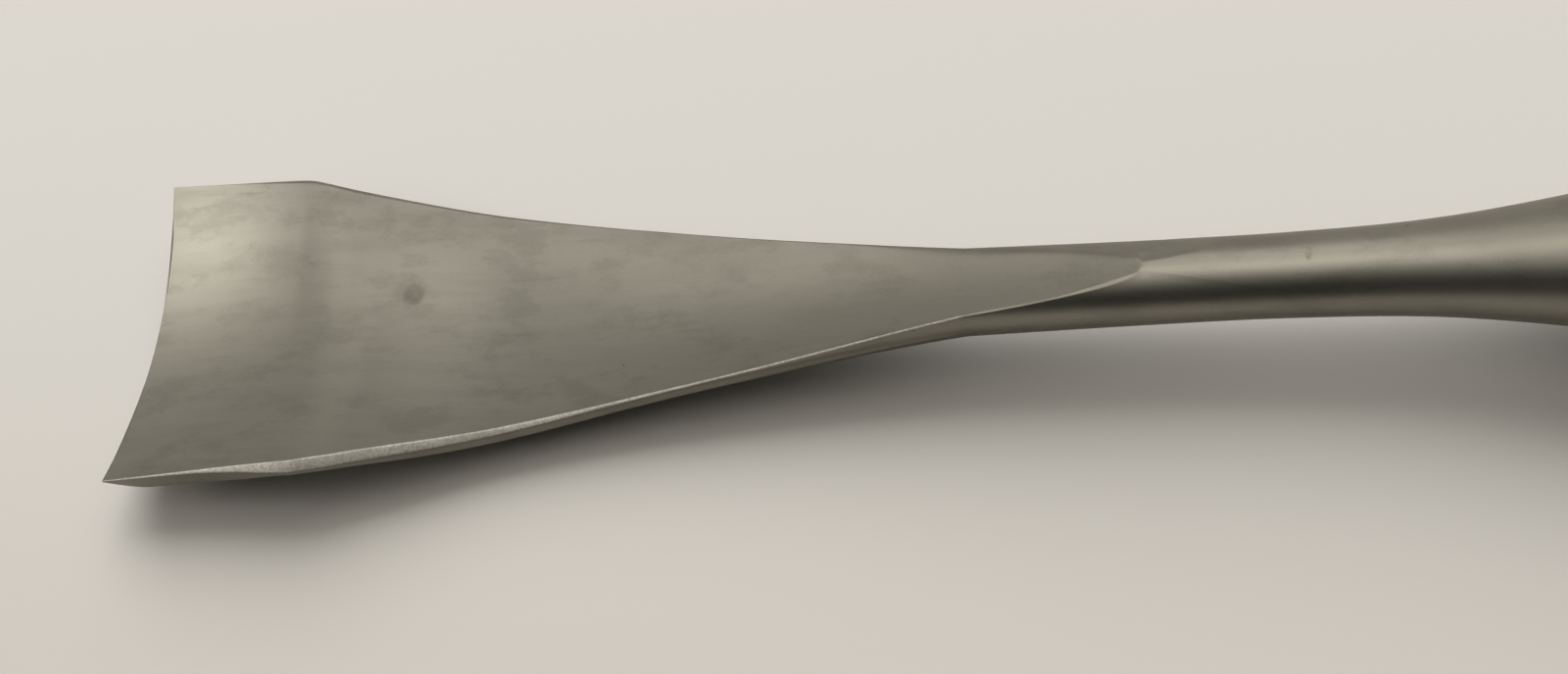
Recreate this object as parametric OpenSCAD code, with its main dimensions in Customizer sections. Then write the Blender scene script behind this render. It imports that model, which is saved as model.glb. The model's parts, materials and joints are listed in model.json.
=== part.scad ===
// Dished palette and plaster knife: a forged blade and neck, brazed into a hollow handle.
// The tool lies on its back on z = 0, tip towards -X, handle towards +X, hollow face up.
// Modules and functions work in the tool's own frame: x runs from the tip along the neck's
// axis, z is measured from that axis, and y = 0 is the middle plane. laid() then sets the
// tool down at rest, with its box centred on the origin.

/* [Blade] */
// Length of the blade, from the tip to where the hollow runs out on the neck
blade_len = 112; // [95:1:135]
// Width of the face at the tip
tip_w = 36.4; // [30:0.2:42]
// Width of the face where the ground sides end
shoulder_w = 33.5; // [28:0.1:38]
// Length of the ground sides, from the tip
ground_len = 21.6; // [18:0.1:26]
// Depth of the hollow at the tip
hollow_depth = 3.3; // [2.5:0.1:4.4]
// Thickness under the middle of the hollow
floor_t = 2.2; // [1.8:0.1:3]
// Height of the tip's corners above the neck's axis
tip_rise = 1.9; // [1:0.1:3]
// Height of the face edge at the crest, where the ground sides end
crest_rise = 2.85; // [2:0.05:3.6]
// Drop of the face edge at its lowest, behind the crest
dip_drop = 1.1; // [0.6:0.1:2]
// Length of the bevel that thins the back to the tip
bevel_len = 5; // [3:0.1:7]
// Thickness left at the tip
tip_t = 0.2; // [0.12:0.01:0.4]
// Width of the bright land along the edge, at its widest
land_w = 1.1; // [0.6:0.05:1.3]
// Slope of the land, down from level
land_tilt = 25; // [10:1:40]
// Height of the side wall under the land
wall_h = 1.7; // [1.2:0.1:2.2]
// Outward lean of the side wall
wall_lean = 12; // [0:1:18]
// How much sooner the hand-ground side ends on the right, and later on the left
ground_skew = 1.8; // [0:0.1:2.5]
// Share of the land's width that the right side has
right_land = 0.4; // [0.3:0.05:1]

/* [Neck] */
// Diameter of the neck at its thinnest
neck_d = 8; // [7:0.1:9.5]
// Length of the neck, from the blade's end to the joint with the handle
neck_len = 50; // [44:1:62]
// Diameter of the neck where it meets the handle
bolster_d = 16.6; // [15:0.2:19]

/* [Handle] */
// Length of the hollow handle's half shells
handle_len = 88; // [74:1:110]
// Diameter of the handle at its fullest
belly_d = 21; // [19.4:0.2:25]
// Diameter of the handle where it meets the end cap
heel_d = 17.4; // [15.6:0.2:19]
// Wall of the half shells
shell_wall = 0.9; // [0.7:0.05:1.2]
// Width of the braze in each joint
braze_t = 0.15; // [0.1:0.01:0.25]
// Depth of the spigots on the neck and on the end cap
spigot_len = 5; // [4:0.5:7]
// Diameter of the tang
tang_d = 5.2; // [4.4:0.1:6.4]
// Length of the tang beyond its spigot
tang_len = 50; // [35:1:60]

/* [End cap] */
// Length of the domed end cap
cap_len = 12; // [11:0.5:16]
// Thickness of the cap between its flats
cap_flat_t = 9; // [7:0.2:10]
// Diameter of the hole to hang the tool by
hang_hole_d = 4.5; // [3.5:0.1:5]
// Distance from the hole's centre to the end of the cap
hang_hole_inset = 6; // [5.5:0.1:6.5]

/* [Fits] */
// Clearance between a spigot, the tang or the filling and what is round it
fit_gap = 0.05; // [0.03:0.01:0.1]

/* [Hidden] */
$fn = 48;

// Where each stretch of the tool ends, along x
merge_x = blade_len * 0.85;             // the face edge reaches the round of the neck
collar_x = blade_len + neck_len;
shell_x = collar_x + braze_t;
heel_x = shell_x + handle_len;
cap_x = heel_x + braze_t;
total_len = cap_x + cap_len;
neck_r = neck_d / 2;
bore_r = bolster_d / 2 - shell_wall;    // inside of the shells at the collar
plug_r = heel_d / 2 - shell_wall;       // inside of the shells at the heel

// How many steps each stretch of the forging's skin has
bevel_steps = 5;
ground_steps = 8;
flare_steps = 22;
runout_steps = 7;
neck_steps = 16;
// How many steps each side of one section has
face_steps = 12;
arc_steps = 3;
back_steps = 9;
// How many steps a turned outline has
profile_steps = 22;
dome_steps = 9;

// ---- Curves -------------------------------------------------------------------------

// Slope of a knotted curve at knot i, taken across its neighbours
function slope(k, i) =
    let (a = max(i - 1, 0), b = min(i + 1, len(k) - 1))
    (k[b][1] - k[a][1]) / (k[b][0] - k[a][0]);

// Cubic between knots i and i + 1
function between(k, i, x) =
    let (h = k[i + 1][0] - k[i][0], t = (x - k[i][0]) / h)
    k[i][1] * (1 + 2 * t) * pow(1 - t, 2) + slope(k, i) * h * t * pow(1 - t, 2)
    + k[i + 1][1] * t * t * (3 - 2 * t) + slope(k, i + 1) * h * t * t * (t - 1);

// Index of the last knot at or before x
function knot_before(k, x, i = 0) =
    i >= len(k) - 2 || x < k[i + 1][0] ? i : knot_before(k, x, i + 1);

// Smooth curve through a list of [x, value] knots, level beyond its ends
function curve(k, x) =
    let (u = min(max(x, k[0][0]), k[len(k) - 1][0])) between(k, knot_before(k, u), u);

// ---- Outlines of the tool, as [x, value] knots -------------------------------------------

// Radius of the round parts, from the blade's merge to the end cap
round_knots = [
    [merge_x, neck_r + 0.35],
    [blade_len, neck_r + 0.06],
    [blade_len + neck_len * 0.26, neck_r],
    [blade_len + neck_len * 0.52, neck_r + 0.114 * (bolster_d / 2 - neck_r)],
    [blade_len + neck_len * 0.76, neck_r + 0.474 * (bolster_d / 2 - neck_r)],
    [collar_x, bolster_d / 2],
    [shell_x + handle_len * 0.14, bolster_d / 2 + 0.73 * (belly_d - bolster_d) / 2],
    [shell_x + handle_len * 0.32, belly_d / 2],
    [shell_x + handle_len * 0.68, belly_d / 2 - 0.35 * (belly_d - heel_d) / 2],
    [heel_x, heel_d / 2]];
function round_r(x) = curve(round_knots, x);

// Height of the face edge
edge_knots = [
    [0, tip_rise],
    [ground_len * 0.93, crest_rise],
    [ground_len * 1.25, crest_rise * 0.57],
    [blade_len * 0.40, -dip_drop],
    [blade_len * 0.625, -dip_drop / 3],
    [merge_x, 0.59 * neck_r],
    [blade_len, neck_r + 0.03]];
function edge_z(x) = curve(edge_knots, x);

// Width of the land, and how far it drops
land_knots = [
    [0, tip_t / 4],
    [ground_len * 0.46, land_w * 0.22],
    [ground_len * 0.7, land_w * 0.5],
    [ground_len, land_w],
    [blade_len * 0.27, land_w * 0.95],
    [blade_len * 0.43, land_w * 0.5],
    [blade_len * 0.52, land_w * 0.26],
    [blade_len * 0.7, land_w * 0.15],
    [blade_len, land_w * 0.12]];
right_land_knots = [[0, right_land], [blade_len * 0.55, right_land], [merge_x, 1]];
function land(x, side = -1) =
    curve(land_knots, x) * (side > 0 ? curve(right_land_knots, x) : 1);
function lip_z(x, side = -1) = edge_z(x) - land(x, side) * tan(land_tilt);

// Half width of the face where its edge lies on the round of the neck
function round_half_w(x) = sqrt(max(0, pow(round_r(x), 2) - pow(lip_z(x), 2))) - land(x);
flare_knots = [
    [ground_len, shoulder_w / 2],
    [blade_len * 0.27, 0.894 * shoulder_w / 2],
    [blade_len * 0.45, 0.676 * shoulder_w / 2],
    [blade_len * 0.67, 0.415 * shoulder_w / 2],
    [merge_x, round_half_w(merge_x)],
    [blade_len * 0.93, 0.63 * neck_r],
    [blade_len, round_half_w(blade_len)]];
function edge_w(x) =
    x < ground_len ? lookup(x, [[0, tip_w / 2], [ground_len, shoulder_w / 2]])
    : curve(flare_knots, x);

// Depth of the hollow below the face edge
hollow_knots = [
    [0, hollow_depth],
    [ground_len, hollow_depth * 0.95],
    [blade_len * 0.40, hollow_depth * 0.8],
    [blade_len * 0.62, hollow_depth * 0.5],
    [merge_x, hollow_depth * 0.14],
    [blade_len, 0]];
function hollow(x) = curve(hollow_knots, x);

// Share of the full thickness that the bevel leaves, rounding off to the whole of it
tip_share = tip_t / floor_t;
function bevel(x) = tip_share + (1 - tip_share) * sin(90 * min(1, x / bevel_len));

// Height of the side wall
wall_knots = [
    [0, wall_h],
    [ground_len * 0.35, wall_h * 0.97],
    [ground_len * 0.7, wall_h * 0.75],
    [ground_len, wall_h * 0.12],
    [blade_len * 0.32, wall_h * 0.5],
    [blade_len * 0.55, wall_h * 0.52],
    [blade_len * 0.7, wall_h * 0.42],
    [merge_x, tip_t / 10]];
function wall(x) = x < merge_x ? bevel(x) * curve(wall_knots, x) : 0;

// Where along the outlines above each side of the blade is, with side 1 on +y and -1 on -y
skew_knots = [[0, 0], [ground_len, ground_skew], [blade_len * 0.55, 0]];
function along(x, side) = x + side * curve(skew_knots, x);
function mid_edge_z(x) = (edge_z(along(x, 1)) + edge_z(along(x, -1))) / 2;

// Height of the lowest line of the back
back_knots = [
    [0, tip_rise - hollow_depth - floor_t * 0.7],
    [ground_len, crest_rise - hollow_depth * 0.95 - floor_t],
    [blade_len * 0.40, -dip_drop - hollow_depth * 0.8 - floor_t],
    [blade_len * 0.62, -dip_drop / 3 - hollow_depth * 0.5 - floor_t * 1.35],
    [merge_x, -round_r(merge_x)]];
function back_z(x) =
    x >= merge_x ? -round_r(x)
    : let (top = mid_edge_z(x) - hollow(x)) top - tip_t
      - bevel(x) * (top - tip_t - curve(back_knots, x)) * (x < bevel_len ? bevel(x) : 1);

// Angle at which a section starts above its widest point, and its roundness below it
merge_angle = asin(lip_z(merge_x) / round_r(merge_x));
least_angle = 4;
spread_angle = 45;
function start_angle(x) =
    x < merge_x ? least_angle * bevel(x)
        + (merge_angle - least_angle) * pow(max(0, 1 - (merge_x - x) / (blade_len * 0.3)), 2)
    : x <= blade_len ? asin(min(0.995, lip_z(x) / round_r(x)))
    : max(spread_angle, asin(0.995) - (x - blade_len) * 3);
back_power_knots = [
    [0, 2], [ground_len, 1.9], [blade_len * 0.4, 1.25], [blade_len * 0.6, 1.1], [merge_x, 1]];
function back_power(x) = curve(back_power_knots, x);

// ---- The forging ------------------------------------------------------------------------

// Points of one side of a section, from the land to just above the lowest point
function side_points(x, side) =
    let (a = start_angle(x), u = along(x, side),
         lip = x <= blade_len ? [edge_w(u) + land(u, side), lip_z(u, side)]
                              : round_r(x) * [cos(a), sin(a)],
         half = x < merge_x ? lip[0] / cos(a) : round_r(x),
         rise = (lip[1] - back_z(x)) / (1 + sin(a)),
         mid_z = lip[1] - rise * sin(a),
         h = wall(u),
         foot = half + h * tan(wall_lean),
         drop = mid_z - h - back_z(x))
    [for (i = [0 : arc_steps - 1])
         let (b = a * (1 - i / arc_steps)) [x, side * half * cos(b), mid_z + rise * sin(b)],
     for (i = [0 : back_steps - 1])
         let (b = 90 * i / back_steps)
         [x, side * foot * cos(b), mid_z - h - drop * pow(sin(b), back_power(x))]];

// A point of the face at t, which runs from 1 at the +y edge to -1 at the -y edge
function face_point(x, t) =
    let (u = along(x, t > 0 ? 1 : -1), mid = mid_edge_z(x))
    [x, edge_w(u) * t, mid + (edge_z(u) - mid) * abs(t) - hollow(x) * (1 - t * t)];
function face_points(x) =
    let (a = start_angle(x))
    [for (i = [0 : face_steps])
         x <= blade_len ? face_point(x, 1 - 2 * i / face_steps)
         : let (b = a + (180 - 2 * a) * (i + 1) / (face_steps + 2))
           [x, round_r(x) * cos(b), round_r(x) * sin(b)]];

function reversed(points) = [for (i = [len(points) - 1 : -1 : 0]) points[i]];

// One closed section: across the face, down the -y side, along the back and up the +y side
function section(x) =
    concat(face_points(x), side_points(x, -1), [[x, 0, back_z(x)]],
           reversed(side_points(x, 1)));

section_size = face_steps + 1 + 2 * (arc_steps + back_steps) + 1;
function ring(x, r) =
    [for (p = section(collar_x)) let (u = p / norm([p[1], p[2]])) [x, r * u[1], r * u[2]]];

function steps(a, b, n) = [for (i = [1 : n]) a + (b - a) * i / n];
skin_x = concat([0], steps(0, bevel_len, bevel_steps),
                steps(bevel_len, ground_len, ground_steps),
                steps(ground_len, merge_x, flare_steps),
                steps(merge_x, blade_len, runout_steps),
                steps(blade_len, collar_x, neck_steps));
spigot_end = collar_x + spigot_len;
tang_end = spigot_end + tang_len;
rings = concat([for (x = skin_x) section(x)],
               [ring(collar_x, bore_r - fit_gap), ring(spigot_end, bore_r - fit_gap),
                ring(spigot_end, tang_d / 2), ring(tang_end, tang_d / 2)]);

module blade() {
    n = section_size;
    last = (len(rings) - 1) * n;
    sides = [for (k = [0 : len(rings) - 2], i = [0 : n - 1])
                 let (a = k * n + i, b = k * n + (i + 1) % n)
                 each [[a, b + n, b], [a, a + n, b + n]]];
    tip_cap = [for (i = [1 : n - 2]) [0, i, i + 1]];
    tang_cap = [for (i = [1 : n - 2]) [last, last + i + 1, last + i]];
    color("#8f8d86") laid()
        polyhedron([for (r = rings) each r], concat(sides, tip_cap, tang_cap));
}

// ---- The handle ----------------------------------------------------------------------------

// A solid turned about the tool's axis from [x, radius] points
module turned(points) {
    rotate([0, 90, 0]) rotate_extrude() polygon([for (p = points) [p[1], p[0]]]);
}

// Outline of the shells' outside, as straight-edged as they are turned
shell_points = [for (x = concat([shell_x], steps(shell_x, heel_x, profile_steps))) [x, round_r(x)]];
// The same outline from a to b, moved inwards by inset
function shell_line(a, b, inset) =
    [for (x = concat([a], [for (p = shell_points) if (p[0] > a && p[0] < b) p[0]], [b]))
         [x, lookup(x, shell_points) - inset]];
shell_outline = concat(shell_line(shell_x, heel_x, 0),
                       reversed(shell_line(shell_x, heel_x, shell_wall)));

// One half shell, on the side of y that side gives
module half_shell(side) {
    intersection() {
        turned(shell_outline);
        translate([shell_x, side > 0 ? braze_t / 2 : -belly_d, -belly_d])
            cube([handle_len, belly_d - braze_t / 2, 2 * belly_d]);
    }
}

module handle_shell_left() {
    color("#8b8982") laid() half_shell(-1);
}

module handle_shell_right() {
    color("#8b8982") laid() half_shell(1);
}

// The braze in the two lengthwise seams between the half shells
module seam_braze() {
    color("#a9a596") laid()
        for (turn = [0, 180])
            rotate([90 + turn, 0, 0]) linear_extrude(braze_t, center = true)
                polygon(shell_outline);
}

// A ring of braze round a spigot of radius r, with outside radius outer
module braze_ring(x, r, outer) {
    turned([[x, r + fit_gap], [x + braze_t, r + fit_gap], [x + braze_t, outer], [x, outer]]);
}

module collar_braze() {
    color("#a9a596") laid() braze_ring(collar_x, bore_r - fit_gap, bolster_d / 2);
}

module cap_braze() {
    color("#a9a596") laid() braze_ring(heel_x, plug_r - fit_gap, heel_d / 2);
}

// The resin that fills the shells between the spigots and holds the tang
module tang_filler() {
    front = spigot_end + fit_gap;
    back = cap_x - spigot_len - fit_gap;
    tang_bore = tang_end + fit_gap;
    color("#6d6a60") laid()
        turned(concat(shell_line(front, back, shell_wall + fit_gap),
                      [[back, 0], [tang_bore, 0], [tang_bore, tang_d / 2 + fit_gap],
                       [front, tang_d / 2 + fit_gap]]));
}

module end_cap() {
    dome = [for (i = [0 : dome_steps])
                let (a = 90 * i / dome_steps) [cap_x + cap_len * sin(a), heel_d / 2 * cos(a)]];
    hole_x = total_len - hang_hole_inset;
    flat_len = cap_len * 0.88;
    color("#8b8982") laid()
        difference() {
            turned(concat([[cap_x - spigot_len, 0], [cap_x - spigot_len, plug_r - fit_gap],
                           [cap_x, plug_r - fit_gap]], dome));
            for (side = [0, 180])
                rotate([side, 0, 0])
                    translate([total_len - flat_len, -heel_d, cap_flat_t / 2])
                        cube([2 * flat_len, 2 * heel_d, heel_d]);
            translate([hole_x, 0, 0]) cylinder(d = hang_hole_d, h = 2 * heel_d, center = true);
        }
}

// ---- At rest ------------------------------------------------------------------------------

// The point of a list that is lowest once the tool is turned by a about the Y axis
function lowest(points, a) =
    let (h = [for (p = points) p[1] * cos(a) - p[0] * sin(a)], low = min(h))
    points[search(low, h)[0]];
blade_line = [for (x = skin_x) if (x < merge_x) [x, back_z(x)]];
handle_line = [for (p = shell_points) [p[0], -p[1]]];
// Turn at which the blade's back and the handle's belly touch the same flat, found in rounds
function rest_turn(a, rounds) =
    let (b = lowest(blade_line, a), h = lowest(handle_line, a),
         better = atan((h[1] - b[1]) / (h[0] - b[0])))
    rounds == 0 ? better : rest_turn(better, rounds - 1);
rest_a = rest_turn(0, 3);
rest_low = lowest(blade_line, rest_a);
rest_drop = rest_low[1] * cos(rest_a) - rest_low[0] * sin(rest_a);
box_mid = (edge_z(0) * sin(rest_a) + total_len * cos(rest_a)) / 2;

// Sets the tool down on z = 0 with the middle of its box on the origin
module laid() {
    translate([-box_mid, 0, -rest_drop]) rotate([0, rest_a, 0]) children();
}

blade();
handle_shell_left();
handle_shell_right();
seam_braze();
collar_braze();
tang_filler();
end_cap();
cap_braze();
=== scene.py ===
import json
import math

import bpy
from mathutils import Matrix, Vector


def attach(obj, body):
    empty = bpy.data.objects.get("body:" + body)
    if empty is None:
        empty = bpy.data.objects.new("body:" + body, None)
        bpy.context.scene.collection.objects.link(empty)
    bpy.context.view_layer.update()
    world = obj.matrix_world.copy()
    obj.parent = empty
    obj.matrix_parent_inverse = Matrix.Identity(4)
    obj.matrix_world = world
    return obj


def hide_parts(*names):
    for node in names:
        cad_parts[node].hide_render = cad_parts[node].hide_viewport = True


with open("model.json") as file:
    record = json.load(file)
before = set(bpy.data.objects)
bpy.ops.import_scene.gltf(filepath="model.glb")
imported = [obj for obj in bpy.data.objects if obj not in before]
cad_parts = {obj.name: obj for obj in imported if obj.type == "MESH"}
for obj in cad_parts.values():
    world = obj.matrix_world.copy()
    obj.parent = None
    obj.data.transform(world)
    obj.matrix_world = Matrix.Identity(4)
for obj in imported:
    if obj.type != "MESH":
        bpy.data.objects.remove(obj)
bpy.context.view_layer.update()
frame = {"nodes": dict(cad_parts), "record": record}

# A dished palette and plaster knife in satin stainless steel. Sizes are in millimetres in the
# tool's own frame: x from the tip along the neck's axis, z from that axis. MM turns them into
# metres, and LAY sets the tool down at rest.
MM = 0.001

# ---- Driving sizes, as in the part's source -------------------------------------------------

BLADE_LEN = 112.0
TIP_W = 36.4
SHOULDER_W = 33.5
GROUND_LEN = 21.6
HOLLOW_DEPTH = 3.3
FLOOR_T = 2.2
TIP_RISE = 1.9
CREST_RISE = 2.85
DIP_DROP = 1.1
BEVEL_LEN = 5.0
TIP_T = 0.2
LAND_W = 1.1
LAND_TILT = math.radians(25)
WALL_H = 1.7
WALL_LEAN = math.radians(12)
GROUND_SKEW = 1.8
RIGHT_LAND = 0.4
NECK_D = 8.0
NECK_LEN = 50.0
BOLSTER_D = 16.6
HANDLE_LEN = 88.0
BELLY_D = 21.0
HEEL_D = 17.4
SHELL_WALL = 0.9
BRAZE_T = 0.15
SPIGOT_LEN = 5.0
TANG_D = 5.2
TANG_LEN = 50.0
CAP_LEN = 12.0
CAP_FLAT_T = 9.0
HANG_HOLE_D = 4.5
HANG_HOLE_INSET = 6.0
FIT_GAP = 0.05

NECK_R = NECK_D / 2
MERGE_X = BLADE_LEN * 0.85
COLLAR_X = BLADE_LEN + NECK_LEN
SHELL_X = COLLAR_X + BRAZE_T
HEEL_X = SHELL_X + HANDLE_LEN
CAP_X = HEEL_X + BRAZE_T
TOTAL_LEN = CAP_X + CAP_LEN
BORE_R = BOLSTER_D / 2 - SHELL_WALL
PLUG_R = HEEL_D / 2 - SHELL_WALL

# The hang hole's mount gives the turn and the place of the tool at rest
hole = frame["record"]["mounts"][0]
rest_turn = Matrix.Rotation(math.atan2(hole["axis"][0], hole["axis"][2]), 4, "Y")
hole_centre = Vector((TOTAL_LEN - HANG_HOLE_INSET, 0, 0)) * MM
LAY = Matrix.Translation(Vector(hole["pos_m"]) - rest_turn @ hole_centre) @ rest_turn


# ---- Curves ------------------------------------------------------------------------------------

def slope(knots, i):
    """Slope of a knotted curve at knot i, taken across its neighbours."""
    a, b = knots[max(i - 1, 0)], knots[min(i + 1, len(knots) - 1)]
    return (b[1] - a[1]) / (b[0] - a[0])


def curve(knots, x):
    """Smooth curve through (x, value) knots, level beyond its ends."""
    x = min(max(x, knots[0][0]), knots[-1][0])
    i = 0
    while i < len(knots) - 2 and x >= knots[i + 1][0]:
        i += 1
    h = knots[i + 1][0] - knots[i][0]
    t = (x - knots[i][0]) / h
    return (knots[i][1] * (1 + 2 * t) * (1 - t) ** 2 + slope(knots, i) * h * t * (1 - t) ** 2
            + knots[i + 1][1] * t * t * (3 - 2 * t) + slope(knots, i + 1) * h * t * t * (t - 1))


def span(a, b, n):
    """n values from just after a up to b."""
    return [a + (b - a) * i / n for i in range(1, n + 1)]


# ---- Outlines of the tool ----------------------------------------------------------------------

BOLSTER_STEP = BOLSTER_D / 2 - NECK_R
ROUND_KNOTS = [
    (MERGE_X, NECK_R + 0.35),
    (BLADE_LEN, NECK_R + 0.06),
    (BLADE_LEN + NECK_LEN * 0.26, NECK_R),
    (BLADE_LEN + NECK_LEN * 0.52, NECK_R + 0.114 * BOLSTER_STEP),
    (BLADE_LEN + NECK_LEN * 0.76, NECK_R + 0.474 * BOLSTER_STEP),
    (COLLAR_X, BOLSTER_D / 2),
    (SHELL_X + HANDLE_LEN * 0.14, BOLSTER_D / 2 + 0.73 * (BELLY_D - BOLSTER_D) / 2),
    (SHELL_X + HANDLE_LEN * 0.32, BELLY_D / 2),
    (SHELL_X + HANDLE_LEN * 0.68, BELLY_D / 2 - 0.35 * (BELLY_D - HEEL_D) / 2),
    (HEEL_X, HEEL_D / 2)]
EDGE_KNOTS = [
    (0, TIP_RISE),
    (GROUND_LEN * 0.93, CREST_RISE),
    (GROUND_LEN * 1.25, CREST_RISE * 0.57),
    (BLADE_LEN * 0.40, -DIP_DROP),
    (BLADE_LEN * 0.625, -DIP_DROP / 3),
    (MERGE_X, 0.59 * NECK_R),
    (BLADE_LEN, NECK_R + 0.03)]
LAND_KNOTS = [
    (0, TIP_T / 4),
    (GROUND_LEN * 0.46, LAND_W * 0.22),
    (GROUND_LEN * 0.7, LAND_W * 0.5),
    (GROUND_LEN, LAND_W),
    (BLADE_LEN * 0.27, LAND_W * 0.95),
    (BLADE_LEN * 0.43, LAND_W * 0.5),
    (BLADE_LEN * 0.52, LAND_W * 0.26),
    (BLADE_LEN * 0.7, LAND_W * 0.15),
    (BLADE_LEN, LAND_W * 0.12)]
HOLLOW_KNOTS = [
    (0, HOLLOW_DEPTH),
    (GROUND_LEN, HOLLOW_DEPTH * 0.95),
    (BLADE_LEN * 0.40, HOLLOW_DEPTH * 0.8),
    (BLADE_LEN * 0.62, HOLLOW_DEPTH * 0.5),
    (MERGE_X, HOLLOW_DEPTH * 0.14),
    (BLADE_LEN, 0)]
WALL_KNOTS = [
    (0, WALL_H),
    (GROUND_LEN * 0.35, WALL_H * 0.97),
    (GROUND_LEN * 0.7, WALL_H * 0.75),
    (GROUND_LEN, WALL_H * 0.12),
    (BLADE_LEN * 0.32, WALL_H * 0.5),
    (BLADE_LEN * 0.55, WALL_H * 0.52),
    (BLADE_LEN * 0.7, WALL_H * 0.42),
    (MERGE_X, TIP_T / 10)]
RIGHT_LAND_KNOTS = [(0, RIGHT_LAND), (BLADE_LEN * 0.55, RIGHT_LAND), (MERGE_X, 1)]
SKEW_KNOTS = [(0, 0), (GROUND_LEN, GROUND_SKEW), (BLADE_LEN * 0.55, 0)]
BACK_POWER_KNOTS = [
    (0, 2), (GROUND_LEN, 1.9), (BLADE_LEN * 0.4, 1.25), (BLADE_LEN * 0.6, 1.1), (MERGE_X, 1)]


def round_r(x):
    """Radius of the round parts, from the blade's merge to the heel."""
    return curve(ROUND_KNOTS, x)


def edge_z(x):
    """Height of the face's edge."""
    return curve(EDGE_KNOTS, x)


def land(x, side=-1):
    """Width of the bright land along the edge, less on the right where the file took less."""
    share = curve(RIGHT_LAND_KNOTS, x) if side > 0 else 1
    return share * curve(LAND_KNOTS, x)


def hollow(x):
    """Depth of the hollow below the face's edge."""
    return curve(HOLLOW_KNOTS, x)


def lip_z(x, side=-1):
    """Height of the land's outer edge."""
    return edge_z(x) - land(x, side) * math.tan(LAND_TILT)


def along(x, side):
    """Where along the outlines each side of the hand-ground blade is, side 1 being +y."""
    return x + side * curve(SKEW_KNOTS, x)


def mid_edge_z(x):
    return (edge_z(along(x, 1)) + edge_z(along(x, -1))) / 2


def round_half_w(x):
    """Half width of the face where its land lies on the round of the neck."""
    return math.sqrt(max(0.0, round_r(x) ** 2 - lip_z(x) ** 2)) - land(x)


FLARE_KNOTS = [
    (GROUND_LEN, SHOULDER_W / 2),
    (BLADE_LEN * 0.27, 0.894 * SHOULDER_W / 2),
    (BLADE_LEN * 0.45, 0.676 * SHOULDER_W / 2),
    (BLADE_LEN * 0.67, 0.415 * SHOULDER_W / 2),
    (MERGE_X, round_half_w(MERGE_X)),
    (BLADE_LEN * 0.93, 0.63 * NECK_R),
    (BLADE_LEN, round_half_w(BLADE_LEN))]
BACK_INSET = 0.012       # keeps the smooth back inside the coarser solid
BACK_KNOTS = [
    (0, TIP_RISE - HOLLOW_DEPTH - FLOOR_T * 0.7),
    (GROUND_LEN, CREST_RISE - HOLLOW_DEPTH * 0.95 - FLOOR_T),
    (BLADE_LEN * 0.40, -DIP_DROP - HOLLOW_DEPTH * 0.8 - FLOOR_T),
    (BLADE_LEN * 0.62, -DIP_DROP / 3 - HOLLOW_DEPTH * 0.5 - FLOOR_T * 1.35),
    (MERGE_X, -round_r(MERGE_X))]


def edge_w(x):
    """Half width of the face."""
    if x < GROUND_LEN:
        return (TIP_W + (SHOULDER_W - TIP_W) * x / GROUND_LEN) / 2
    return curve(FLARE_KNOTS, x)


def bevel(x):
    """Share of the full thickness that the bevel at the tip leaves."""
    share = TIP_T / FLOOR_T
    return share + (1 - share) * math.sin(math.pi / 2 * min(1.0, x / BEVEL_LEN))


def wall(x):
    """Height of the side wall under the land."""
    return bevel(x) * curve(WALL_KNOTS, x) if x < MERGE_X else 0.0


def back_z(x):
    """Height of the lowest line of the back."""
    if x >= MERGE_X:
        return -round_r(x)
    top = mid_edge_z(x) - hollow(x)
    full = top - TIP_T - curve(BACK_KNOTS, x) - BACK_INSET
    return top - TIP_T - full * bevel(x) * (bevel(x) if x < BEVEL_LEN else 1)


MERGE_ANGLE = math.asin(lip_z(MERGE_X) / round_r(MERGE_X))
LEAST_ANGLE = math.radians(4)
SPREAD_ANGLE = math.radians(45)
SPREAD_RATE = math.radians(3)
LAST_SINE = 0.995


def start_angle(x):
    """Angle at which a section starts, above its widest point."""
    if x < MERGE_X:
        ramp = max(0.0, 1 - (MERGE_X - x) / (BLADE_LEN * 0.3)) ** 2
        return LEAST_ANGLE * bevel(x) + (MERGE_ANGLE - LEAST_ANGLE) * ramp
    if x <= BLADE_LEN:
        return math.asin(min(LAST_SINE, lip_z(x) / round_r(x)))
    return max(SPREAD_ANGLE, math.asin(LAST_SINE) - (x - BLADE_LEN) * SPREAD_RATE)


# ---- Sections of the forging -------------------------------------------------------------------

FACE_STEPS = 56
LAND_STEPS = 2
ARC_STEPS = 8
WALL_STEPS = 3
BACK_STEPS = 26
CORNER_STEPS = 3
CORNER_SHARE = 0.3       # most of a short side that a worn corner may take
FACE_WEAR = 0.12         # how far the wear reaches from the face's edge
LAND_WEAR = 0.12
FOOT_WEAR = 0.35


def blend_point(a, b, t):
    return (a[0] + (b[0] - a[0]) * t, a[1] + (b[1] - a[1]) * t)


def corner(before, at, after, reach):
    """Points of a small round in place of the corner at, between its two neighbours."""
    near = min(reach, CORNER_SHARE * math.dist(before, at), CORNER_SHARE * math.dist(at, after))
    a = blend_point(at, before, near / max(math.dist(before, at), 1e-9))
    b = blend_point(at, after, near / max(math.dist(at, after), 1e-9))
    points = []
    for i in range(CORNER_STEPS + 1):
        t = i / CORNER_STEPS
        points.append(blend_point(blend_point(a, at, t), blend_point(at, b, t), t))
    return points


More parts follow.
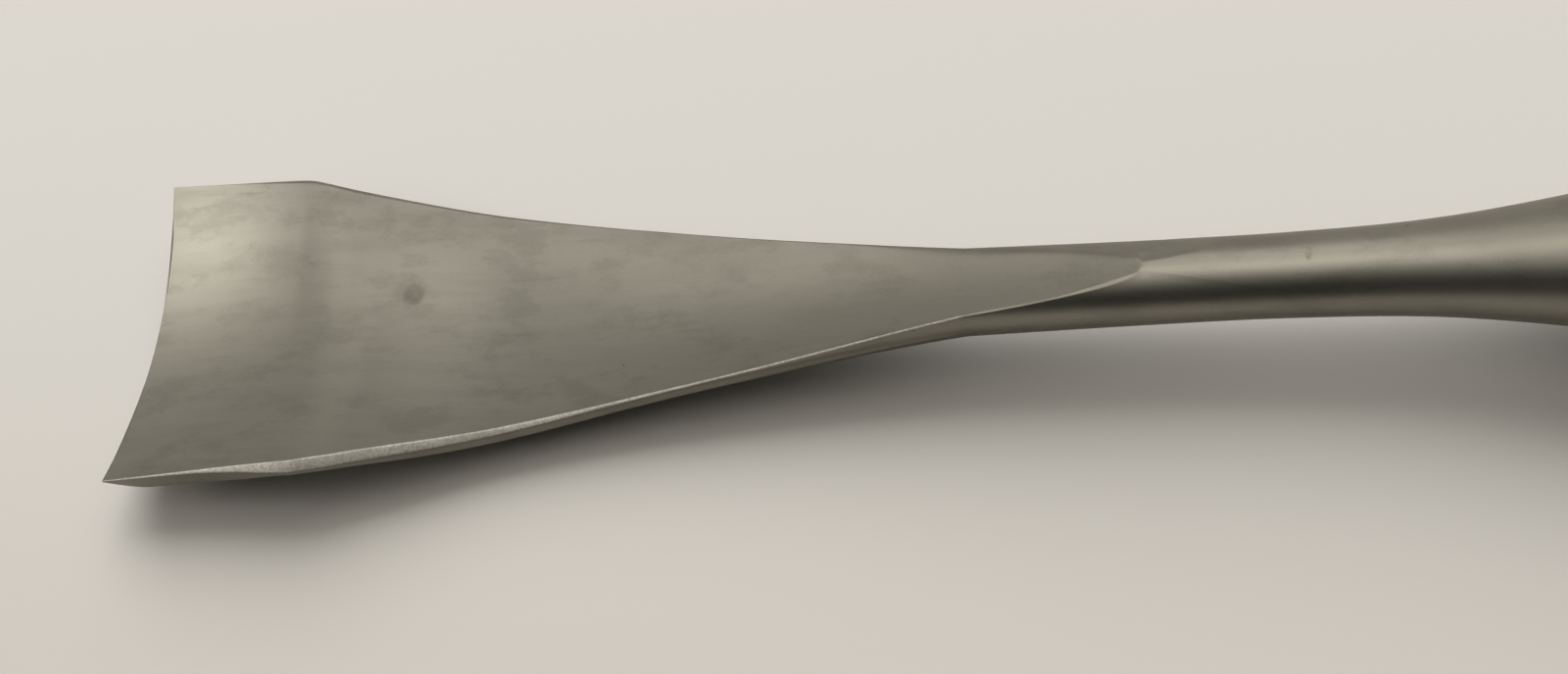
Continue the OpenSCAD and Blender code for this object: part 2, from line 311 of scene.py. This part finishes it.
def half_section(x, side):
    """Points (y, z) of one side's half of a section, from the middle of the face to the middle
    of the back, as seen with y positive. The number of points is always the same."""
    a = start_angle(x)
    u = along(x, side)
    half_face = FACE_STEPS // 2
    if x <= BLADE_LEN:
        w, mid = edge_w(u), mid_edge_z(x)
        face = []
        for i in range(half_face + 1):
            t = i / half_face
            face.append((w * t, mid + (edge_z(u) - mid) * t - hollow(x) * (1 - t * t)))
        lip = (w + land(u, side), lip_z(u, side))
        if x >= MERGE_X:
            lip = (round_r(x) * math.cos(a), lip[1])
    else:
        land_angle = min(math.radians(4), (math.pi / 2 - a) * 0.3)
        face = []
        for i in range(half_face + 1):
            b = math.pi / 2 - (math.pi / 2 - a - land_angle) * i / half_face
            face.append((round_r(x) * math.cos(b), round_r(x) * math.sin(b)))
        lip = (round_r(x) * math.cos(a), round_r(x) * math.sin(a))
    half = lip[0] / math.cos(a)
    rise = (lip[1] - back_z(x)) / (1 + math.sin(a))
    mid_z = lip[1] - rise * math.sin(a)
    h = wall(u)
    foot = half + h * math.tan(WALL_LEAN)
    drop = mid_z - h - back_z(x)
    arc = []
    for i in range(1, ARC_STEPS + 1):
        b = a * (1 - i / ARC_STEPS)
        arc.append((half * math.cos(b), mid_z + rise * math.sin(b)))
    side = [blend_point(arc[-1], (foot, mid_z - h), i / WALL_STEPS)
            for i in range(1, WALL_STEPS + 1)]
    power = curve(BACK_POWER_KNOTS, x)
    back = []
    for i in range(1, BACK_STEPS + 1):
        b = math.pi / 2 * i / BACK_STEPS
        back.append((foot * math.cos(b) if i < BACK_STEPS else 0.0,
                     mid_z - h - drop * math.sin(b) ** power))
    land_line = [blend_point(face[-1], lip, i / LAND_STEPS) for i in range(1, LAND_STEPS)]
    points = face[:-1]
    points += corner(face[-2], face[-1], lip, FACE_WEAR)
    points += land_line
    points += corner(face[-1], lip, arc[0] if h == 0 else side[0], LAND_WEAR)
    points += arc[:-1]
    points += side[:-1]
    points += corner(side[-2] if h else arc[-2], side[-1], back[0], FOOT_WEAR)
    points += back
    return points


SOFT_KNOTS = [(MERGE_X - 12, 0), (MERGE_X, 1), (BLADE_LEN, 1), (BLADE_LEN + 6, 0)]
SOFT_PASSES = 70          # eases the right edge where the face runs out
SOFT_COLUMN = FACE_STEPS // 2    # the point of a half section that is the face's edge
SOFT_REACH = 16                  # points either side of it that are eased
LAND_COLUMNS = (FACE_STEPS // 2, FACE_STEPS // 2 + 2 * CORNER_STEPS + LAND_STEPS)
STATIONS = (
    [0.0] + span(0, BEVEL_LEN, 12) + span(BEVEL_LEN, GROUND_LEN - 1.2, 34)
    + span(GROUND_LEN - 1.2, GROUND_LEN + 1.2, 12) + span(GROUND_LEN + 1.2, MERGE_X, 110)
    + span(MERGE_X, BLADE_LEN - 2, 40) + span(BLADE_LEN - 2, BLADE_LEN + 4, 16)
    + span(BLADE_LEN + 4, COLLAR_X, 70))


# ---- Modelling helpers -------------------------------------------------------------------------

WELD = 1e-7               # metres within which points are one


def deselect():
    bpy.ops.object.select_all(action="DESELECT")


def primitive(name, add, **options):
    """A new object from one of the mesh primitives, alone selected and active."""
    deselect()
    add(**options)
    piece = bpy.context.object
    piece.name = piece.data.name = name
    return piece


def edit(piece, *steps):
    """Runs operators on the piece in edit mode, with all of it selected first."""
    deselect()
    piece.select_set(True)
    bpy.context.view_layer.objects.active = piece
    bpy.ops.object.mode_set(mode="EDIT")
    bpy.ops.mesh.select_all(action="SELECT")
    for step in steps:
        step()
    bpy.ops.object.mode_set(mode="OBJECT")


def settle(piece):
    """Lays a piece that was shaped in the tool's frame down at rest. The tool is one body."""
    piece.data.transform(LAY)
    piece.data.update()
    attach(piece, "root")


def smooth(piece, angle):
    deselect()
    piece.select_set(True)
    bpy.context.view_layer.objects.active = piece
    bpy.ops.object.shade_smooth_by_angle(angle=math.radians(angle))


def loft(name, rows):
    """A skin through closed rows of points, wrapped from a grid and closed at both ends."""
    across, along = len(rows[0]) + 1, len(rows)
    skin = primitive(name, bpy.ops.mesh.primitive_grid_add, size=2,
                     x_subdivisions=along - 1, y_subdivisions=across - 1)
    assert len(skin.data.vertices) == across * along
    columns = {}
    for v in skin.data.vertices:
        i = round((v.co.x + 1) / 2 * (along - 1))
        j = round((v.co.y + 1) / 2 * (across - 1))
        columns[v.index] = (i, j)
    for v in skin.data.vertices:
        i, j = columns[v.index]
        v.co = rows[i][j % (across - 1)]
    rows_of_faces = {}
    for f in skin.data.polygons:
        spots = [columns[k] for k in f.vertices]
        rows_of_faces[f.index] = (min(s[0] for s in spots), min(s[1] for s in spots))
    return skin, rows_of_faces


def weld_ends(skin, at_x):
    """Merges the skin's seam, then closes it at both ends of its length."""
    edit(skin, lambda: bpy.ops.mesh.remove_doubles(threshold=WELD))
    for x in at_x:
        deselect()
        bpy.context.view_layer.objects.active = skin
        for v in skin.data.vertices:
            v.select = abs(v.co.x - x) < WELD
        for e in skin.data.edges:
            e.select = all(skin.data.vertices[k].select for k in e.vertices)
        for f in skin.data.polygons:
            f.select = False
        bpy.ops.object.mode_set(mode="EDIT")
        bpy.ops.mesh.edge_face_add()
        bpy.ops.object.mode_set(mode="OBJECT")
    edit(skin, lambda: bpy.ops.mesh.normals_make_consistent(inside=False))


# ---- The forging -------------------------------------------------------------------------------

def closing_row(row):
    """The tip's section with its back folded onto the points of its face, which closes it."""
    middle = len(row) // 2
    reach = FACE_STEPS // 2 + CORNER_STEPS
    side = middle - reach
    closed = []
    for j, point in enumerate(row):
        out = abs(j - middle)
        if out > reach:
            out = round(reach * (1 - (out - reach) / side))
            point = row[middle + out] if j > middle else row[middle - out]
        closed.append(point.copy())
    return closed


def softened(points, share):
    """Points with the face's edge eased by a share, averaging each point with its neighbours."""
    eased = points
    for _ in range(SOFT_PASSES):
        means = [tuple((a + 2 * b + c) / 4 for a, b, c in zip(*trio))
                 for trio in zip(eased, eased[1:], eased[2:])]
        eased = [eased[0]] + means + [eased[-1]]
    mixed = []
    for i, (hard, soft) in enumerate(zip(points, eased)):
        near = max(0, 1 - abs(i - SOFT_COLUMN) / SOFT_REACH)
        mixed.append(blend_point(hard, soft, share * near * near * (3 - 2 * near)))
    return mixed


def forging_rows():
    """The forging's sections, the face's right edge easing into the neck as it runs out."""
    rows = []
    for x in STATIONS:
        left, right = half_section(x, -1), half_section(x, 1)
        share = curve(SOFT_KNOTS, x)
        if share > 0:
            right = softened(right, share)
        loop = [(-y, z) for y, z in reversed(left[1:])] + right[:-1]
        rows.append([Vector((x, y, z)) * MM for y, z in loop])
    rows.insert(0, closing_row(rows[0]))
    last = rows[-1]
    for x, r in ((COLLAR_X, BORE_R - FIT_GAP), (COLLAR_X + SPIGOT_LEN, BORE_R - FIT_GAP),
                 (COLLAR_X + SPIGOT_LEN, TANG_D / 2),
                 (COLLAR_X + SPIGOT_LEN + TANG_LEN, TANG_D / 2)):
        ring = []
        for p in last:
            flat = Vector((0, p.y, p.z)).normalized() * r * MM
            ring.append(Vector((x * MM, flat.y, flat.z)))
        rows.append(ring)
    return rows


def make_forging():
    rows = forging_rows()
    skin, spots = loft("forging", rows)
    half_count = len(half_section(0.0, 1))
    for f in skin.data.polygons:
        i, j = spots[f.index]
        from_middle = abs(j + 0.5 - (half_count - 1))
        on_land = j < half_count - 1 and LAND_COLUMNS[0] < from_middle < LAND_COLUMNS[1]
        on_blade = 1 <= i <= len(STATIONS) and STATIONS[i - 1] < MERGE_X
        f.material_index = 1 if on_land and on_blade else 0
    weld_ends(skin, ((COLLAR_X + SPIGOT_LEN + TANG_LEN) * MM,))
    smooth(skin, FORGING_ANGLE)
    settle(skin)
    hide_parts("blade")
    return skin


# ---- The handle --------------------------------------------------------------------------------

TURN_STEPS = 112
SHELL_STEPS = 48          # points round one half shell's outside
SHELL_STATIONS = 90       # sections along a half shell
EDGE_WEAR = 0.08          # how far worn edges on the handle draw back
WEAR_LEN = 0.1            # length over which they do
HANDLE_ANGLE = 30         # steepest bend, in degrees, that is shaded smooth
FORGING_ANGLE = 32
SKIN_INSET = 0.012        # keeps smooth pieces inside the outlines of the faceted ones


def around_tool(along_axis, a, b):
    return (along_axis, a, b)


def turned(name, outline, place=around_tool):
    """A solid turned from (along the axis, radius) points, which start and end on the axis or
    come back to their start."""
    rows = []
    for s, r in outline:
        row = []
        for k in range(TURN_STEPS):
            a = 2 * math.pi * k / TURN_STEPS
            row.append(Vector(place(s, r * math.cos(a), r * math.sin(a))) * MM)
        rows.append(row)
    skin, _ = loft(name, rows)
    edit(skin, lambda: bpy.ops.mesh.remove_doubles(threshold=WELD),
         lambda: bpy.ops.mesh.normals_make_consistent(inside=False))
    return skin


def worn_ends(a, b, n):
    """(x, wear) stations from a to b, drawn back at both ends."""
    part = 0.3 * WEAR_LEN
    start = [(a, EDGE_WEAR), (a + part, EDGE_WEAR * 0.35), (a + WEAR_LEN, 0)]
    end = [(b - WEAR_LEN, 0), (b - part, EDGE_WEAR * 0.35), (b, EDGE_WEAR)]
    return start + [(x, 0) for x in span(a + WEAR_LEN, b - WEAR_LEN, n)[:-1]] + end


def shell_section(x, side, wear):
    outer_r, inner_r = round_r(x) - SKIN_INSET - wear, round_r(x) - SHELL_WALL

    def arc(r):
        seam = math.asin(BRAZE_T / 2 / r)
        turns = [seam + (math.pi - 2 * seam) * k / SHELL_STEPS for k in range(SHELL_STEPS + 1)]
        return [(side * r * math.sin(a), r * math.cos(a)) for a in turns]

    outer, inner = arc(outer_r), arc(inner_r)[::-1]
    loop = corner(inner[-1], outer[0], outer[1], EDGE_WEAR) + outer[1:-1]
    loop += corner(outer[-2], outer[-1], inner[0], EDGE_WEAR) + inner
    return [Vector((x, y, z)) * MM for y, z in loop]


def make_half_shell(name, side):
    rows = [shell_section(x, side, wear) for x, wear in worn_ends(SHELL_X, HEEL_X, SHELL_STATIONS)]
    shell, _ = loft(name, rows)
    weld_ends(shell, (SHELL_X * MM, HEEL_X * MM))
    return shell


SEAM_EDGE = 0.05          # how far a seam's braze lies under the outside, at its edges
SEAM_CROWN = 0.02
RING_EDGE = 0.06          # the same for the rings of braze
RING_CROWN = 0.03


def make_seam_braze():
    """Two thin strips, filling the seams to just under the shells' outside."""
    strips = []
    half = BRAZE_T / 2
    for up in (1, -1):
        rows = []
        for x in [SHELL_X] + span(SHELL_X, HEEL_X, SHELL_STATIONS):
            low, top = round_r(x) - SHELL_WALL, round_r(x)
            edge, crown = top - SEAM_EDGE, top - SEAM_CROWN
            loop = [(-half, low), (half, low), (half, edge), (half / 2, crown),
                    (-half / 2, crown), (-half, edge)]
            rows.append([Vector((x, y, up * z)) * MM for y, z in loop])
        strip, _ = loft("seam_strip", rows)
        weld_ends(strip, (SHELL_X * MM, HEEL_X * MM))
        strips.append(strip)
    deselect()
    for strip in strips:
        strip.select_set(True)
    bpy.context.view_layer.objects.active = strips[0]
    bpy.ops.object.join()
    strips[0].name = "seams"
    return strips[0]


def make_braze_ring(name, x, inner_r, outer_r):
    """A ring of braze, lying a little under the two edges that it joins."""
    middle = x + BRAZE_T / 2
    edge = outer_r - RING_EDGE
    return turned(name, [(x, inner_r), (x + BRAZE_T, inner_r), (x + BRAZE_T, edge),
                         (middle, outer_r - RING_CROWN), (x, edge), (x, inner_r)])


def soft_limit(value, limit, blend):
    """The lesser of value and limit, rounded where they meet."""
    share = max(blend - abs(value - limit), 0) / blend
    return min(value, limit) - share * share * blend / 4


FLAT_START = TOTAL_LEN - CAP_LEN * 0.88
SHOULDER = 0.25           # length over which the flats' shoulders step down
RIM_WEAR = 0.35           # round on the rims of the hang hole
RIM_STEPS = 6
DOME_STEPS = 60
SHOULDER_STEPS = 4
FLAT_BLEND = 0.12         # round where the flats meet the dome
CUTTER_SPARE = 1          # how far the hole's cutter stands past the flats


def cap_point(x, a, b):
    """Sets a point of the turned cap in to its flats."""
    sink = min(max((x - FLAT_START) / SHOULDER, 0), 1)
    limit = HEEL_D / 2 + (CAP_FLAT_T / 2 - HEEL_D / 2) * sink
    if sink > 0:
        b = math.copysign(soft_limit(abs(b), limit, FLAT_BLEND), b)
    return (x, a, b)


def make_end_cap():
    r = HEEL_D / 2
    flat_stations = [FLAT_START + SHOULDER * k / SHOULDER_STEPS for k in range(SHOULDER_STEPS + 1)]
    length = CAP_LEN - SKIN_INSET
    dome = [CAP_X + length * math.sin(math.pi / 2 * k / DOME_STEPS)
            for k in range(1, DOME_STEPS + 1)]
    stations = sorted(dome + flat_stations)
    outline = [(CAP_X - SPIGOT_LEN, 0), (CAP_X - SPIGOT_LEN, PLUG_R - FIT_GAP),
               (CAP_X, PLUG_R - FIT_GAP), (CAP_X, r - EDGE_WEAR), (CAP_X + 0.04, r - 0.02)]
    for x in stations:
        if x > CAP_X + 0.06:
            share = min((x - CAP_X) / length, 1)
            outline.append((x, (r - SKIN_INSET) * math.sqrt(1 - share * share)))
    cap = turned("cap", outline, cap_point)
    half, bore = CAP_FLAT_T / 2, HANG_HOLE_D / 2
    rim = []
    for k in range(RIM_STEPS + 1):
        a = math.pi / 2 * k / RIM_STEPS
        rim.append((half - RIM_WEAR * (1 - math.sin(a)), bore + RIM_WEAR * (1 - math.cos(a))))
    reach = half + CUTTER_SPARE
    rim.append((reach, bore + RIM_WEAR))
    profile = [(-reach, 0)] + [(-s, q) for s, q in reversed(rim)] + rim + [(reach, 0)]
    cutter = turned("hole_cutter", profile, lambda s, a, b: (
        TOTAL_LEN - HANG_HOLE_INSET + a, b, s))
    deselect()
    cap.select_set(True)
    bpy.context.view_layer.objects.active = cap
    bpy.ops.object.modifier_add(type="BOOLEAN")
    cap.modifiers[-1].object = cutter
    cap.modifiers[-1].operation = "DIFFERENCE"
    bpy.ops.object.modifier_apply(modifier=cap.modifiers[-1].name)
    bpy.data.objects.remove(cutter)
    return cap


def place(piece, node, slot):
    """Smooths a shaped piece, lays it down and lets it stand for its node."""
    smooth(piece, HANDLE_ANGLE)
    settle(piece)
    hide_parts(node)
    return piece


forging = make_forging()
shells = [place(make_half_shell("left_shell", -1), "handle_shell_left", "pressed_steel"),
          place(make_half_shell("right_shell", 1), "handle_shell_right", "pressed_steel")]
brazes = [place(make_seam_braze(), "seam_braze", "braze"),
          place(make_braze_ring("collar_ring", COLLAR_X, BORE_R, BOLSTER_D / 2),
                "collar_braze", "braze"),
          place(make_braze_ring("cap_ring", HEEL_X, PLUG_R, HEEL_D / 2),
                "cap_braze", "braze")]
end_cap = place(make_end_cap(), "end_cap", "pressed_steel")


# ---- Shaders -----------------------------------------------------------------------------------

class Value:
    """A node's output that arithmetic works on, adding one Math node for each operator."""

    def __init__(self, tree, socket):
        self.tree = tree
        self.socket = socket

    def math(self, operation, a, b):
        return self.tree.node("ShaderNodeMath", {"operation": operation}, {0: a, 1: b})

    def __add__(self, other):
        return self.math("ADD", self, other)

    def __radd__(self, other):
        return self.math("ADD", other, self)

    def __sub__(self, other):
        return self.math("SUBTRACT", self, other)

    def __rsub__(self, other):
        return self.math("SUBTRACT", other, self)

    def __mul__(self, other):
        return self.math("MULTIPLY", self, other)

    def __rmul__(self, other):
        return self.math("MULTIPLY", other, self)


class Shader:
    """A material, or the world, built node by node and ending in one surface shader."""

    def __init__(self, owner, surface="ShaderNodeBsdfPrincipled",
                 output="ShaderNodeOutputMaterial", place="Object"):
        self.owner = owner
        owner.use_nodes = True
        self.nodes = owner.node_tree.nodes
        self.links = owner.node_tree.links
        self.nodes.clear()
        self.surface = self.nodes.new(surface)
        end = self.nodes.new(output)
        self.links.new(self.surface.outputs[0], end.inputs["Surface"])
        self.place = self.node("ShaderNodeTexCoord", {}, {}, place)

    def node(self, kind, settings, inputs, output=0):
        """Adds a node, makes its settings, feeds its sockets, and gives one of its outputs."""
        node = self.nodes.new(kind)
        for key, value in settings.items():
            setattr(node, key, value)
        for key, value in inputs.items():
            self.feed(node.inputs[key], value)
        return Value(self, node.outputs[output])

    def feed(self, socket, value):
        if isinstance(value, Value):
            self.links.new(value.socket, socket)
        else:
            socket.default_value = value

    def scaled(self, scale, place=(0, 0, 0)):
        """Object coordinates, moved and stretched for a pattern."""
        return self.node("ShaderNodeMapping", {}, {
            "Vector": self.place, "Scale": scale, "Location": place})

    def noise(self, scale, detail=3.0, rough=0.5, stretch=(1, 1, 1), place=(0, 0, 0)):
        return self.node("ShaderNodeTexNoise", {}, {
            "Vector": self.scaled(stretch, place), "Scale": scale, "Detail": detail,
            "Roughness": rough})

    def ramp(self, value, low, high, out_low=0.0, out_high=1.0):
        """Value eased from low..high to out_low..out_high, held beyond them."""
        return self.node("ShaderNodeMapRange", {"interpolation_type": "SMOOTHSTEP"}, {
            "Value": value, "From Min": low, "From Max": high, "To Min": out_low,
            "To Max": out_high})

    def mix(self, factor, a, b):
        """Colour a going to b. Sockets 6 and 7 are the node's two colours, and output 2 its own."""
        return self.node("ShaderNodeMix", {"data_type": "RGBA"}, {
            "Factor": factor, 6: a, 7: b}, 2)

    def bump(self, height, strength, distance, normal=None):
        inputs = {"Height": height, "Strength": strength, "Distance": distance}
        if normal is not None:
            inputs["Normal"] = normal
        return self.node("ShaderNodeBump", {}, inputs)

    def set(self, **sockets):
        for key, value in sockets.items():
            self.feed(self.surface.inputs[key.replace("_", " ")], value)
        return self.owner


STEEL = (0.30, 0.284, 0.236, 1)
STEEL_DARK = (0.215, 0.205, 0.170, 1)
STEEL_LIGHT = (0.345, 0.332, 0.285, 1)
FILED = (0.60, 0.578, 0.508, 1)
TARNISH = (0.13, 0.12, 0.10, 1)
BRAZE = (0.46, 0.40, 0.27, 1)
BRAZE_DULL = (0.27, 0.225, 0.15, 1)
RESIN = (0.16, 0.145, 0.12, 1)
RESIN_PALE = (0.22, 0.2, 0.17, 1)
FORGED_ROUGH = 0.36
PRESSED_ROUGH = 0.33


def spot(s, x, y, z, reach, stretch=(1, 1, 1)):
    """1 at a point of the tool, falling to 0 at reach millimetres from it."""
    centre = LAY @ (Vector((x, y, z)) * MM)
    shift = tuple(-c * k for c, k in zip(centre, stretch))
    offset = s.node("ShaderNodeVectorMath", {"operation": "LENGTH"},
                    {0: s.scaled(stretch, shift)}, "Value")
    return s.ramp(offset, 0.55 * reach * MM, reach * MM, 1, 0)


def specks(s, scale, radius, share):
    """Scattered dark pits: 1 inside a pit, at a share of the cells of a random grid."""
    grid = {"Vector": s.scaled((1, 1, 1)), "Scale": scale}
    distance = s.node("ShaderNodeTexVoronoi", {}, grid, "Distance")
    lot = s.node("ShaderNodeTexVoronoi", {}, grid, "Color")
    return s.ramp(distance, radius * 0.5, radius, 1, 0) * s.ramp(lot, 1 - share, 1.01 - share)


def steel(name, rough, marks=None):
    """Bead-blasted steel, brushed lengthwise, with faint stains, scratches and pits."""
    s = Shader(bpy.data.materials.new(name))
    stain = s.noise(60, detail=5, rough=0.62, stretch=(0.5, 1, 1))
    cloud = s.noise(19, detail=2, place=(3, 1, 2))
    streak = s.noise(420, detail=3, rough=0.6, stretch=(0.05, 1, 1))
    mottle = s.noise(240, detail=6, rough=0.7, stretch=(0.45, 1, 1), place=(2, 2, 7))
    dash = s.noise(820, detail=3, rough=0.6, stretch=(0.13, 1, 1), place=(1, 5, 2))
    blast = s.noise(5200, detail=2, rough=0.6)
    darker = s.ramp(stain, 0.5, 0.72, 0, 0.55)
    scratch = s.ramp(dash, 0.62, 0.74) * s.ramp(cloud, 0.38, 0.6)
    pits = specks(s, 230, 0.05, 0.45)
    colour = s.mix(darker, STEEL, STEEL_DARK)
    colour = s.mix(s.ramp(cloud, 0.42, 0.68, 0, 0.6), colour, STEEL_LIGHT)
    colour = s.mix(s.ramp(streak, 0.35, 0.75, 0, 0.34), colour, STEEL_DARK)
    colour = s.mix(s.ramp(mottle, 0.48, 0.62, 0, 0.5), colour, STEEL_DARK)
    colour = s.mix(s.ramp(blast, 0.3, 0.75, 0, 0.3), colour, STEEL_LIGHT)
    colour = s.mix(0.2 * scratch, colour, TARNISH)
    colour = s.mix(0.8 * pits, colour, TARNISH)
    if marks is not None:
        colour = s.mix(marks(s), colour, TARNISH)
    roughness = rough - 0.035 + 0.07 * streak + 0.05 * cloud + 0.07 * darker
    fine = s.bump(blast, 0.25, 0.00002)
    normal = s.bump(streak - 0.5 * scratch - 2.0 * pits, 0.12, 0.00003, fine)
    return s.set(Base_Color=colour, Metallic=1.0, Roughness=roughness, Normal=normal)


def blade_marks(s):
    """A round tarnished stain on the face and a nick across the top of the neck."""
    ragged = s.noise(900, detail=3)
    stain = spot(s, 32.3, 4.2, -1.9, 1.55) * s.ramp(ragged, 0.25, 0.65, 0.2, 0.5)
    halo = spot(s, 32.0, 4.6, -1.9, 2.3) * 0.12
    nick = spot(s, 127.0, 0.2, 4.0, 0.45, (1, 0.5, 1)) * s.ramp(ragged, 0.35, 0.6, 0.1, 0.65)
    return stain + halo + nick


def filed_steel():
    """The blasted land along the blade's edges: paler, coarse and sparkling."""
    s = Shader(bpy.data.materials.new("filed_steel"))
    grit = s.noise(3000, detail=3, rough=0.7)
    patch = s.noise(260, detail=3, stretch=(0.4, 1, 1))
    colour = s.mix(s.ramp(grit, 0.38, 0.66, 0, 0.75), FILED, STEEL_LIGHT)
    colour = s.mix(s.ramp(patch, 0.45, 0.75, 0, 0.35), colour, STEEL)
    return s.set(Base_Color=colour, Metallic=1.0, Roughness=0.5 + 0.12 * grit,
                 Normal=s.bump(grit, 0.35, 0.00003))


def braze_metal():
    """Silver braze, yellower than the steel, dull and a little uneven."""
    s = Shader(bpy.data.materials.new("braze"))
    flow = s.noise(600, detail=4, rough=0.6)
    colour = s.mix(s.ramp(flow, 0.4, 0.7), BRAZE, BRAZE_DULL)
    return s.set(Base_Color=colour, Metallic=1.0, Roughness=0.3 + 0.2 * flow,
                 Normal=s.bump(flow, 0.3, 0.00004))


def cast_resin():
    """The dark resin inside the handle."""
    s = Shader(bpy.data.materials.new("cast_resin"))
    swirl = s.noise(120, detail=4)
    colour = s.mix(s.ramp(swirl, 0.35, 0.7), RESIN, RESIN_PALE)
    return s.set(Base_Color=colour, Roughness=0.5 + 0.2 * swirl, Normal=s.bump(swirl, 0.2, 0.0001))


forged = steel("satin_forged_steel", FORGED_ROUGH, blade_marks)
ground = filed_steel()
pressed = steel("satin_pressed_steel", PRESSED_ROUGH)
braze = braze_metal()
resin = cast_resin()

for piece, finish in [(forging, forged), (forging, ground), (end_cap, pressed)]:
    piece.data.materials.append(finish)
for piece in shells:
    piece.data.materials.append(pressed)
for piece in brazes:
    piece.data.materials.append(braze)
node_finish = {"blade": forged, "tang_filler": resin, "seam_braze": braze,
               "collar_braze": braze, "cap_braze": braze}
for name, node in frame["nodes"].items():
    for finish in node.material_slots:
        finish.material = node_finish.get(name, pressed)


# ---- Floor, lights and camera ------------------------------------------------------------------

FLOOR_SIZE = 16.0
FLOOR_DROP = 0.0002                       # a hair of room under the tool
FLOOR_COLOUR = (0.29, 0.275, 0.252, 1)    # what light bouncing off the floor takes on
# Painted shade: the paper as the camera sees it is painted darker on the near side than on the far
# side, standing in for the light's falloff across it.
FLOOR_NEAR_PAINTED_SHADE = (0.362, 0.342, 0.308, 1)
FLOOR_FAR_PAINTED_LIGHT = (0.388, 0.371, 0.343, 1)
PAINTED_SHADE_FADE = 0.05                         # half the width of the painted shade's fade from near to far


def make_floor():
    floor = primitive("floor", bpy.ops.mesh.primitive_plane_add, size=FLOOR_SIZE,
                      location=(0, 0, -FLOOR_DROP))
    s = Shader(bpy.data.materials.new("pale_paper"))
    # Painted shade: the paper's colour for the camera fades from darker on the near side to lighter
    # on the far side, along y.
    depth = s.node("ShaderNodeSeparateXYZ", {}, {0: s.place}, "Y") + 0.03 * s.noise(9, detail=3)
    seen_with_painted_shade = s.mix(s.ramp(depth, -PAINTED_SHADE_FADE, PAINTED_SHADE_FADE), FLOOR_NEAR_PAINTED_SHADE, FLOOR_FAR_PAINTED_LIGHT)
    camera_ray = s.node("ShaderNodeLightPath", {}, {}, "Is Camera Ray")
    colour = s.mix(camera_ray, FLOOR_COLOUR, seen_with_painted_shade)
    floor.data.materials.append(s.set(Base_Color=colour, Roughness=0.95, Specular_IOR_Level=0.1))


SKY_COLOUR = (1.0, 0.975, 0.93, 1)


def lobe(sky, azimuth, zenith, inner, outer):
    """1 within inner degrees of a direction, falling to 0 at outer degrees."""
    a, z = math.radians(azimuth), math.radians(zenith)
    aim = (math.sin(z) * math.cos(a), math.sin(z) * math.sin(a), math.cos(z))
    dot = sky.node("ShaderNodeVectorMath", {"operation": "DOT_PRODUCT"},
                   {0: sky.place, 1: aim}, "Value")
    return sky.ramp(dot, math.cos(math.radians(outer)), math.cos(math.radians(inner)))


LAMP_PLACE = (-0.24, 1.08, 0.88)
LAMP_SIZE = 1.2
LAMP_POWER = 36.0
LAMP_COLOUR = (0.98, 0.985, 1.0)


def make_lamp():
    """A large soft lamp behind the tool, which only the paper takes light from: the tool's
    own reflections are the sky's."""
    deselect()
    bpy.ops.object.light_add(type="AREA", location=LAMP_PLACE)
    lamp = bpy.context.object
    lamp.data.size = LAMP_SIZE
    lamp.data.energy = LAMP_POWER
    lamp.data.color = LAMP_COLOUR
    lamp.rotation_euler = (-Vector(LAMP_PLACE)).to_track_quat("-Z", "Y").to_euler()
    lamp.visible_glossy = False
    lamp.visible_camera = False


ROOM_LIGHT = 0.45
ROOM_DARKEST = 0.01
SOFT_LIGHTS = (
    # azimuth, angle from overhead, full out to, gone by (degrees), strength
    (30, 5, 5, 25, 2.3),         # overhead
    (55, 45, 5, 25, 4.0),        # window on the far side
    (175, 60, 5, 15, 6.0),       # low window past the tip
    (230, 30, 5, 25, 1.5),       # fill past the tip, on the near side
    (-60, 50, 40, 65, -1.25),    # dark wall on the near side of the handle
)


def make_sky():
    """A room's even light, with a few soft lights and one dark wall in it."""
    world = bpy.data.worlds.new("studio")
    bpy.context.scene.world = world
    sky = Shader(world, "ShaderNodeBackground", "ShaderNodeOutputWorld", "Generated")
    level = ROOM_LIGHT
    for azimuth, zenith, inner, outer, strength in SOFT_LIGHTS:
        level = level + strength * lobe(sky, azimuth, zenith, inner, outer)
    level = level.math("MAXIMUM", level, ROOM_DARKEST)
    sky.set(Color=SKY_COLOUR, Strength=level)


CAMERA_PLACE = (121.4, -63.7, 139.0)
CAMERA_AIM = (76.7, -3.9, 0.0)
CAMERA_ROLL = math.radians(-36.0)


def make_camera():
    deselect()
    bpy.ops.object.camera_add(location=LAY @ (Vector(CAMERA_PLACE) * MM))
    camera = bpy.context.object
    camera.data.lens = 36
    camera.data.sensor_width = 36
    camera.data.clip_start = 0.005
    look = Vector(CAMERA_AIM) - Vector(CAMERA_PLACE)
    turn = look.to_track_quat("-Z", "Y").to_matrix() @ Matrix.Rotation(CAMERA_ROLL, 3, "Z")
    camera.rotation_euler = (LAY.to_3x3() @ turn).to_euler()
    bpy.context.scene.camera = camera


make_floor()
make_lamp()
make_sky()
make_camera()
bpy.context.scene.view_settings.view_transform = "Standard"
